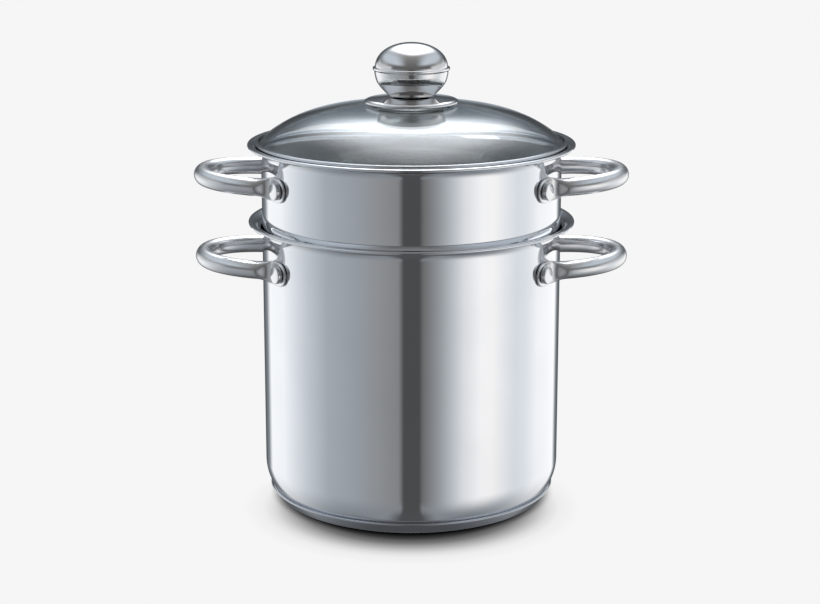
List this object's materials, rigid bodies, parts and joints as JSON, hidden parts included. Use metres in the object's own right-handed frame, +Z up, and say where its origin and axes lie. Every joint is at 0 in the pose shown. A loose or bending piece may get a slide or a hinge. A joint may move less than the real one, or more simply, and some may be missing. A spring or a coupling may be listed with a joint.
{
  "type": "water bath canner",
  "caption": "Tall stainless stock pot with a nested perforated insert, D-loop handles, an encapsulated base and a domed glass lid with a ball knob.",
  "frame": {"origin": "centre of the flat underside of the base, at the height of the surface that it stands on", "axes": "+Z up along the pot's axis, +X towards the right-hand handles, -Y towards the viewer in front"},
  "size_m": [0.319, 0.2398, 0.3398],
  "materials": {
    "polished_steel": "mirror-polished stainless steel",
    "handle_steel": "mirror-polished stainless tube and rivets",
    "knob_steel": "mirror-polished stainless steel",
    "brushed_steel": "satin-turned stainless steel",
    "aluminium_core": "plain aluminium heat-spreading plate",
    "tempered_glass": "clear tempered glass with a slightly green edge",
    "silicone": "translucent white silicone",
    "satin_cup": "satin pressed stainless cup"
  },
  "bodies": {
    "pot": {"pot_body": "polished_steel", "base_core_plate": "aluminium_core", "base_cap": "brushed_steel", "pot_handle_right": "handle_steel", "pot_handle_left": "handle_steel", "pot_rivet_right_rear": "handle_steel", "pot_rivet_right_front": "handle_steel", "pot_rivet_left_front": "handle_steel", "pot_rivet_left_rear": "handle_steel"},
    "insert": {"insert_body": "polished_steel", "insert_handle_right": "handle_steel", "insert_handle_left": "handle_steel", "insert_rivet_right_rear": "handle_steel", "insert_rivet_right_front": "handle_steel", "insert_rivet_left_front": "handle_steel", "insert_rivet_left_rear": "handle_steel"},
    "lid": {"lid_glass": "tempered_glass", "lid_rim_band": "polished_steel", "knob_upper_shell": "knob_steel", "knob_lower_shell": "knob_steel", "knob_thread_bush": "brushed_steel", "knob_base_disc": "knob_steel", "upper_gasket": "silicone", "lower_gasket": "silicone", "retaining_cup": "satin_cup", "lock_washer": "brushed_steel", "lid_screw": "brushed_steel"}
  },
  "joints": [
    {"name": "insert_lift", "type": "slide", "parent": "pot", "child": "insert", "axis": [0, 0, 1], "range_m": [0, 0.21]},
    {"name": "lid_lift", "type": "slide", "parent": "insert", "child": "lid", "axis": [0, 0, 1], "range_m": [0, 0.12]}
  ]
}
